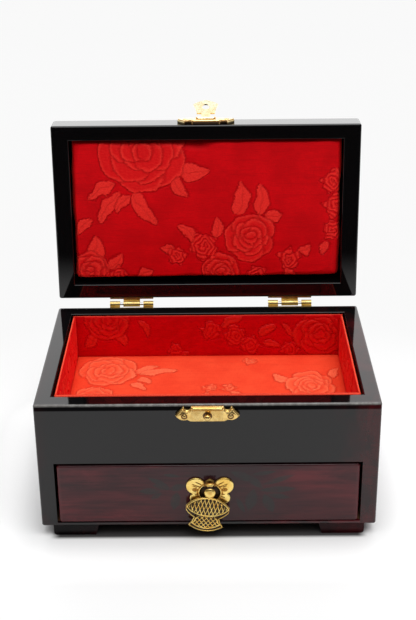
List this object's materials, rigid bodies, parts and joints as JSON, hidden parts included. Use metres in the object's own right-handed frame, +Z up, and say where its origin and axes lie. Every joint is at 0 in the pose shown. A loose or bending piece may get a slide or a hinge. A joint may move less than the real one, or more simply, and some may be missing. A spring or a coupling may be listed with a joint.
{
  "type": "musical jewelry box",
  "caption": "Lacquered musical jewelry box with a hinged padded lid, a lined tray, a drawer with a hanging pull and a wind-up comb movement.",
  "frame": {"origin": "middle of the overall footprint with the lid open, on the surface the feet stand on", "axes": "+Z up, +X to the right seen from the front, +Y from the front to the back"},
  "size_m": [0.22, 0.1758, 0.2479],
  "materials": {
    "lacquer": "high gloss black lacquer",
    "rosewood": "polished dark rosewood stain",
    "plain_wood": "dark stained board",
    "brocade": "satin brocade",
    "flock": "flock",
    "pale_brass": "pale gilt brass, patina in the recesses",
    "brass_nail": "aged brass",
    "antique_brass": "antique gilt brass",
    "bright_steel": "plated steel",
    "comb_steel": "ground steel",
    "spring_steel": "blued steel",
    "movement_plate": "plated sheet steel",
    "movement_brass": "bright brass",
    "cast_block": "cast block"
  },
  "bodies": {
    "case": {"front_panel": "lacquer", "left_side_panel": "lacquer", "right_side_panel": "lacquer", "back_panel": "lacquer", "bottom_panel": "plain_wood", "tray_floor_panel": "plain_wood", "movement_partition": "plain_wood", "front_left_foot": "lacquer", "front_right_foot": "lacquer", "rear_left_foot": "lacquer", "rear_right_foot": "lacquer", "tray_lining_front": "brocade", "tray_lining_back": "brocade", "tray_lining_left": "brocade", "tray_lining_right": "brocade", "tray_floor_pad": "brocade", "strike_plate": "pale_brass", "strike_peg": "pale_brass", "strike_nails": "brass_nail", "left_hinge_case_leaf": "pale_brass", "right_hinge_case_leaf": "pale_brass", "hinge_pins": "bright_steel", "case_hinge_screws": "brass_nail", "movement_bedplate": "movement_plate", "movement_bridge": "movement_plate", "music_comb": "comb_steel", "comb_block": "cast_block", "comb_screws": "bright_steel", "governor_bracket": "movement_plate", "bedplate_screws": "bright_steel"},
    "lid": {"lid_front_rail": "lacquer", "lid_back_rail": "lacquer", "lid_left_rail": "lacquer", "lid_right_rail": "lacquer", "lid_top_panel": "lacquer", "lid_pad": "brocade", "left_hinge_lid_leaf": "pale_brass", "right_hinge_lid_leaf": "pale_brass", "lid_hinge_screws": "brass_nail", "hasp_plate": "pale_brass", "hasp_pin": "bright_steel", "hasp_nails": "brass_nail"},
    "hasp": {"hasp_tongue": "pale_brass"},
    "drawer": {"drawer_front": "rosewood", "drawer_left_side": "plain_wood", "drawer_right_side": "plain_wood", "drawer_back": "plain_wood", "drawer_floor": "plain_wood", "drawer_pad": "flock", "pull_plate": "antique_brass", "pull_pin": "bright_steel"},
    "pull": {"pull_drop": "antique_brass"},
    "key": {"winding_key": "bright_steel", "winding_arbor": "bright_steel"},
    "barrel": {"spring_barrel": "movement_brass", "mainspring": "spring_steel"},
    "cylinder": {"music_cylinder": "movement_brass"},
    "governor": {"governor_wheel": "movement_brass"},
    "fly": {"governor_fly": "movement_brass"},
    "plunger": {"stop_plunger": "bright_steel"}
  },
  "joints": [
    {"name": "lid_hinge", "type": "hinge", "parent": "case", "child": "lid", "pos_m": [0, 0.05394, 0.101], "axis": [1, 0, 0], "range_deg": [0, 94.2]},
    {"name": "hasp_swing", "type": "hinge", "parent": "lid", "child": "hasp", "pos_m": [0, 0.06955, 0.23983], "axis": [1, 0, 0], "range_deg": [0, 150.8]},
    {"name": "drawer_slide", "type": "slide", "parent": "case", "child": "drawer", "axis": [0, -1, 0], "range_m": [0, 0.065]},
    {"name": "pull_swing", "type": "hinge", "parent": "drawer", "child": "pull", "pos_m": [0.001, -0.08566, 0.0426], "axis": [-1, 0, 0], "range_deg": [0, 85]},
    {"name": "key_turn", "type": "hinge", "parent": "case", "child": "key", "pos_m": [-0.013, 0.04944, 0.03735], "axis": [0, 1, 0], "continuous": true},
    {"name": "barrel_turn", "type": "hinge", "parent": "case", "child": "barrel", "pos_m": [-0.013, 0.02594, 0.03735], "axis": [0, 1, 0], "continuous": true},
    {"name": "cylinder_turn", "type": "hinge", "parent": "case", "child": "cylinder", "pos_m": [0.0055, 0.02594, 0.03735], "axis": [0, 1, 0], "continuous": true},
    {"name": "governor_turn", "type": "hinge", "parent": "case", "child": "governor", "pos_m": [0.01064, 0.02594, 0.03122], "axis": [0, 1, 0], "continuous": true},
    {"name": "fly_turn", "type": "hinge", "parent": "case", "child": "fly", "pos_m": [0.01604, 0.01374, 0.03122], "axis": [0, 0, 1], "continuous": true},
    {"name": "plunger_slide", "type": "slide", "parent": "case", "child": "plunger", "axis": [0, -1, 0], "range_m": [0, 0.004]}
  ],
  "couplings": [
    {"joint": "cylinder_turn", "follows": "barrel_turn", "ratio": -2.7},
    {"joint": "governor_turn", "follows": "barrel_turn", "ratio": 10.8},
    {"joint": "fly_turn", "follows": "barrel_turn", "ratio": 259.2},
    {"joint": "plunger_slide", "follows": "drawer_slide", "ratio": 0.06}
  ]
}
